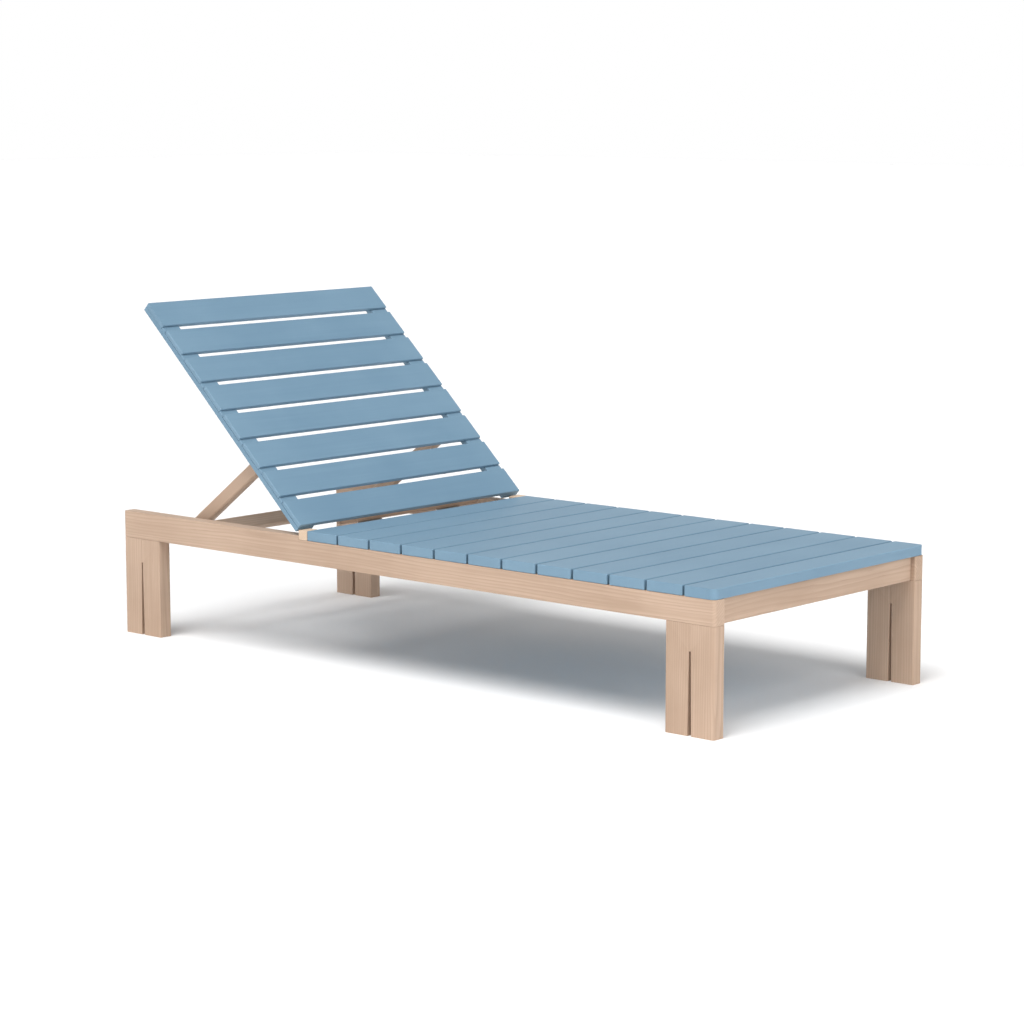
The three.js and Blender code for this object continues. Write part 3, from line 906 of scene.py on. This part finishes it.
@dataclass
class Backrest:
    """Eight painted slats on two stiles, hinged at the lower end, with lugs for the prop."""

    angle: float = math.radians(43.6)
    slats: int = 8
    slat_width: float = 0.0828
    slat_gap: float = 0.0168
    slat_thickness: float = 0.012
    slat_lift: float = 0.0128
    first_edge: float = 0.013
    stile_width: float = 0.058
    screw_inset: float = 0.010
    screw_spread: float = 0.036
    arris: float = 0.0021

    def hinge(self) -> Matrix:
        """The matrix from the flat backrest, hinge axis at its origin, to where it stands."""
        axis = Vector(joint("backrest_hinge")["pos_m"])
        return Matrix.Translation(axis) @ Matrix.Rotation(self.angle, 4, "Y")

    def build(self, shop: Workshop) -> None:
        """Makes the equal slats as a row and finishes the rest.

        Args:
            shop: the shared trees and finishes.
        """
        pitch = self.slat_width + self.slat_gap
        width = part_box("back_slat_2")[1].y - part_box("back_slat_2")[0].y
        lowest = -self.first_edge - self.slat_width / 2
        start = Vector((lowest - (self.slats - 2) * pitch, 0, self.slat_lift + self.slat_thickness / 2))
        material = shop.paint.material(shop.next_board(), Grain.ALONG_Y, by_board=True)
        row = shop.board_row("back_slats", self.slats - 1, pitch, start,
                             Vector((self.slat_width, width, self.slat_thickness)), material, self.hinge())
        shop.soften(row, self.arris, welded=False)
        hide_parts(*[f"back_slat_{i}" for i in range(2, self.slats + 1)])
        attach(row, "backrest")
        top = dress("back_slat_1", shop.paint.material(shop.next_board(), Grain.ALONG_Y))
        shop.soften(top, self.arris * 0.5)
        for side, _ in SIDES:
            stile = dress(f"{side}_back_stile",
                          shop.paint.material(shop.next_board(), Grain.ALONG_X, -self.angle))
            shop.soften(stile, self.arris * 0.6)
            lug = dress(f"{side}_prop_lug",
                        shop.paint.material(shop.next_board(), Grain.ALONG_X, -self.angle))
            shop.soften(lug, self.arris * 0.6)
            dress(f"{side}_pivot_bolt", shop.steel.material(shop.next_board()))
            shop.smooth.attach(frame["nodes"][f"{side}_pivot_bolt"], {"Angle": math.radians(40)})
        batten = dress("hinge_batten", shop.timber.material(shop.next_board(), Grain.ALONG_Y))
        shop.soften(batten, self.arris * 0.5)
        LOG.info("backrest: %d slats", self.slats)

    def fasten(self) -> list[ScrewGrid]:
        """Places the screws through the stiles, two at each slat, inside of the rails they lie on."""
        pitch = self.slat_width + self.slat_gap
        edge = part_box("back_slat_2")[1].y
        x = -self.first_edge - self.slat_width / 2 - (self.slats - 1) * pitch
        grids = []
        for _, sign in SIDES:
            for step in (-self.screw_spread / 2, self.screw_spread / 2):
                first = Vector((x + step, sign * (edge - self.stile_width + self.screw_inset), -0.0005))
                grids.append(ScrewGrid(first, Vector((1, 0, 0)), Vector((0, 0, -1)), self.slats, pitch,
                                       turn=self.hinge()))
        return grids


@dataclass
class Prop:
    """Two struts and the crossbar between their feet."""

    lean: float = math.radians(37.16)
    arris: float = 0.0015
    length: float = 0.379
    bar_half: float = 0.0125

    def build(self, shop: Workshop) -> None:
        """Finishes the prop's timbers.

        Args:
            shop: the shared trees and finishes.
        """
        for side, _ in SIDES:
            strut = dress(f"{side}_strut", shop.timber.material(shop.next_board(), Grain.ALONG_X, self.lean))
            shop.soften(strut, self.arris * 0.4)
        bar = dress("prop_crossbar", shop.timber.material(shop.next_board(), Grain.ALONG_Y))
        shop.soften(bar, self.arris)
        LOG.info("prop dressed")

    def fasten(self) -> list[ScrewGrid]:
        """Places two screws through the crossbar into each strut's end."""
        pivot = Vector(joint("prop_pivot")["pos_m"])
        turn = Matrix.Translation(pivot) @ Matrix.Rotation(-self.lean, 4, "Y")
        grids = []
        for side, _ in SIDES:
            low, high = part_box(f"{side}_strut")
            y = (low.y + high.y) / 2
            grids.append(ScrewGrid(Vector((-self.length - self.bar_half, y, -0.01)), Vector((0, 0, 1)),
                                   Vector((-1, 0, 0)), 2, 0.02, turn=turn))
        return grids


@dataclass
class Hinges:
    """Two steel butt hinges between the hinge rail and the backrest's batten."""

    leaf_reach: float = 0.021
    barrel: float = 0.005
    leaf: float = 0.002
    screw_pitch: float = 0.03

    def build(self, shop: Workshop) -> None:
        """Finishes the leaves and pins.

        Args:
            shop: the shared trees and finishes.
        """
        for side, _ in SIDES:
            for part in ("fixed_leaf", "moving_leaf", "pin"):
                obj = dress(f"{side}_hinge_{part}", shop.steel.material(shop.next_board()))
                shop.smooth.attach(obj, {"Angle": math.radians(40)})
        LOG.info("hinges dressed")

    def fasten_fixed(self) -> list[ScrewGrid]:
        """Places three screws in each fixed leaf."""
        hinge = Vector(joint("backrest_hinge")["pos_m"])
        grids = []
        for side, _ in SIDES:
            low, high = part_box(f"{side}_hinge_pin")
            y = (low.y + high.y) / 2
            first = Vector((hinge.x + self.barrel - self.leaf, y + self.screw_pitch,
                            hinge.z - self.leaf_reach))
            grids.append(ScrewGrid(first, Vector((0, -1, 0)), Vector((-1, 0, 0)), 3, self.screw_pitch))
        return grids

    def fasten_moving(self, turn: Matrix) -> list[ScrewGrid]:
        """Places three screws in each moving leaf.

        Args:
            turn: the backrest's place.

        Returns:
            The screw grids.
        """
        grids = []
        for side, _ in SIDES:
            low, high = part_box(f"{side}_hinge_pin")
            y = (low.y + high.y) / 2
            first = Vector((-self.leaf_reach, y - self.screw_pitch, -self.barrel))
            grids.append(ScrewGrid(first, Vector((0, 1, 0)), Vector((0, 0, -1)), 3, self.screw_pitch,
                                   turn=turn))
        return grids


@dataclass
class Studio:
    """A pale floor, soft light and the camera."""

    azimuth: float = 41.29
    elevation: float = 8.453
    roll: float = 0.012
    distance: float = 7.4464
    right_shift: float = -0.01624
    up_shift: float = -0.37405
    lens: float = 100.812
    frame_shift: float = 0.0
    floor_half: float = 40.0
    sun_way: tuple[float, float, float] = (0.12, -0.66, 1.25)
    sun_strength: float = 2.6
    sun_angle: float = math.radians(40)
    lamp_place: tuple[float, float, float] = (4.6, -1.2, 2.6)
    lamp_side: float = 3.0
    lamp_power: float = 70.0
    horizon: float = 0.06
    overhead: float = 0.40
    overhead_light: Colour = (0.42, 0.42, 0.42)

    def build(self) -> None:
        """Makes the floor, the lights and the camera."""
        self._floor()
        self._world()
        self._sun(Vector(self.sun_way), self.sun_strength, self.sun_angle)
        self._area("end_light", Vector(self.lamp_place), self.lamp_side, self.lamp_power)
        self._camera()
        scene = bpy.context.scene
        scene.view_settings.view_transform = "Standard"
        scene.view_settings.look = "None"
        LOG.info("studio ready")

    def _floor(self) -> None:
        """Makes the floor."""
        mesh = bmesh.new()
        bmesh.ops.create_grid(mesh, x_segments=8, y_segments=8, size=self.floor_half)
        data = bpy.data.meshes.new("floor")
        mesh.to_mesh(data)
        mesh.free()
        floor = bpy.data.objects.new("floor", data)
        bpy.context.scene.collection.objects.link(floor)
        shader = Shader("floor_paper")
        even = shader.place(Euler((0, 0, 0)), Vector((1, 1, 1)), Vector((0, 0, 0)))
        cloud = shader.noise(even, 0.7, 2.0, 0.5)
        shader.feed(shader.surface.inputs["Base Color"],
                    shader.mix(cloud, (0.93, 0.93, 0.93), (0.95, 0.95, 0.95)))
        shader.surface.inputs["Roughness"].default_value = 0.9
        shader.surface.inputs["Specular IOR Level"].default_value = 0.1
        data.materials.append(shader.material)

    def _world(self) -> None:
        """Makes the surround, white near the horizon and dimmer overhead."""
        world = bpy.data.worlds.new("studio_air")
        world.use_nodes = True
        tree = NodeTree(world.node_tree)
        way = tree.add("ShaderNodeTexCoord").outputs["Generated"]
        height = Signal(tree, tree.add("ShaderNodeSeparateXYZ", None, {0: way}).outputs[2])
        sky = tree.add("ShaderNodeMix", {"data_type": "RGBA", "clamp_factor": True},
                       {0: height.step(self.horizon, self.overhead), 6: (1.0, 1.0, 1.0),
                        7: self.overhead_light})
        background = tree.add("ShaderNodeBackground", None, {"Color": sky.outputs[2], "Strength": 1.0})
        output = tree.add("ShaderNodeOutputWorld")
        tree.feed(output.inputs["Surface"], background.outputs[0])
        bpy.context.scene.world = world

    def _sun(self, way: Vector, strength: float, angle: float) -> None:
        """Makes one very soft distant light.

        Args:
            way: the direction it comes from.
            strength: its strength in watts per square metre.
            angle: how wide it looks, in radians.
        """
        data = bpy.data.lights.new("key_light", "SUN")
        data.energy = strength
        data.angle = angle
        lamp = bpy.data.objects.new("key_light", data)
        lamp.rotation_euler = way.to_track_quat("Z", "Y").to_euler()
        bpy.context.scene.collection.objects.link(lamp)

    def _area(self, name: str, at: Vector, side: float, power: float) -> None:
        """Makes one soft light aimed at the seat.

        Args:
            name: the light's name.
            at: where it hangs.
            side: the length of its side.
            power: its power in watts.
        """
        data = bpy.data.lights.new(name, "AREA")
        data.size = side
        data.energy = power
        lamp = bpy.data.objects.new(name, data)
        lamp.location = at
        lamp.rotation_euler = (Vector((0, 0, 0.3)) - at).to_track_quat("-Z", "Y").to_euler()
        bpy.context.scene.collection.objects.link(lamp)

    def _camera(self) -> None:
        """Makes the camera and puts it in use."""
        a, e = math.radians(self.azimuth), math.radians(self.elevation)
        back = Vector((math.sin(a) * math.cos(e), -math.cos(a) * math.cos(e), math.sin(e)))
        ahead = -back
        right = ahead.cross(Vector((0, 0, 1))).normalized()
        up = right.cross(ahead)
        turn = Matrix.Rotation(math.radians(self.roll), 3, ahead)
        right, up = turn @ right, turn @ up
        data = bpy.data.cameras.new("camera")
        data.lens = self.lens
        data.sensor_width = 36.0
        data.shift_x = self.frame_shift
        data.clip_end = 200.0
        camera = bpy.data.objects.new("camera", data)
        place = Matrix((right, up, back)).transposed().to_4x4()
        place.translation = -(right * self.right_shift + up * self.up_shift + ahead * self.distance)
        camera.matrix_world = place
        bpy.context.scene.collection.objects.link(camera)
        bpy.context.scene.camera = camera


def main() -> None:
    """Builds the studio and the lounger's sub-assemblies in order."""
    logging.basicConfig(level=logging.INFO, format="%(name)s: %(message)s")
    shop = Workshop(
        timber=TimberFinish("oiled_timber", pale=(0.55, 0.40, 0.30), body=(0.415, 0.288, 0.205),
                            dark=(0.20, 0.115, 0.068)),
        paint=PaintFinish("blue_paint", body=(0.146, 0.255, 0.355), light=(0.20, 0.32, 0.42),
                          deep=(0.112, 0.212, 0.305)),
        pale_timber=TimberFinish("pale_timber", pale=(0.70, 0.54, 0.40), body=(0.62, 0.46, 0.33),
                                 dark=(0.40, 0.27, 0.18)),
        steel=SteelFinish("satin_steel", body=(0.56, 0.56, 0.55), dull=(0.33, 0.31, 0.29)),
    )
    timbers, deck, backrest, prop, hinges = TimberFrame(), SeatDeck(), Backrest(), Prop(), Hinges()
    timbers.dress(shop)
    deck.build(shop)
    backrest.build(shop)
    prop.build(shop)
    hinges.build(shop)
    shop.screw_rows("frame_screws", timbers.fasten(deck.slats) + hinges.fasten_fixed(), "frame")
    moving = hinges.fasten_moving(backrest.hinge())
    shop.screw_rows("backrest_screws", backrest.fasten() + moving, "backrest")
    shop.screw_rows("prop_screws", prop.fasten(), "prop")
    shop.put_away()
    Studio().build()


if __name__ == "__main__":
    main()
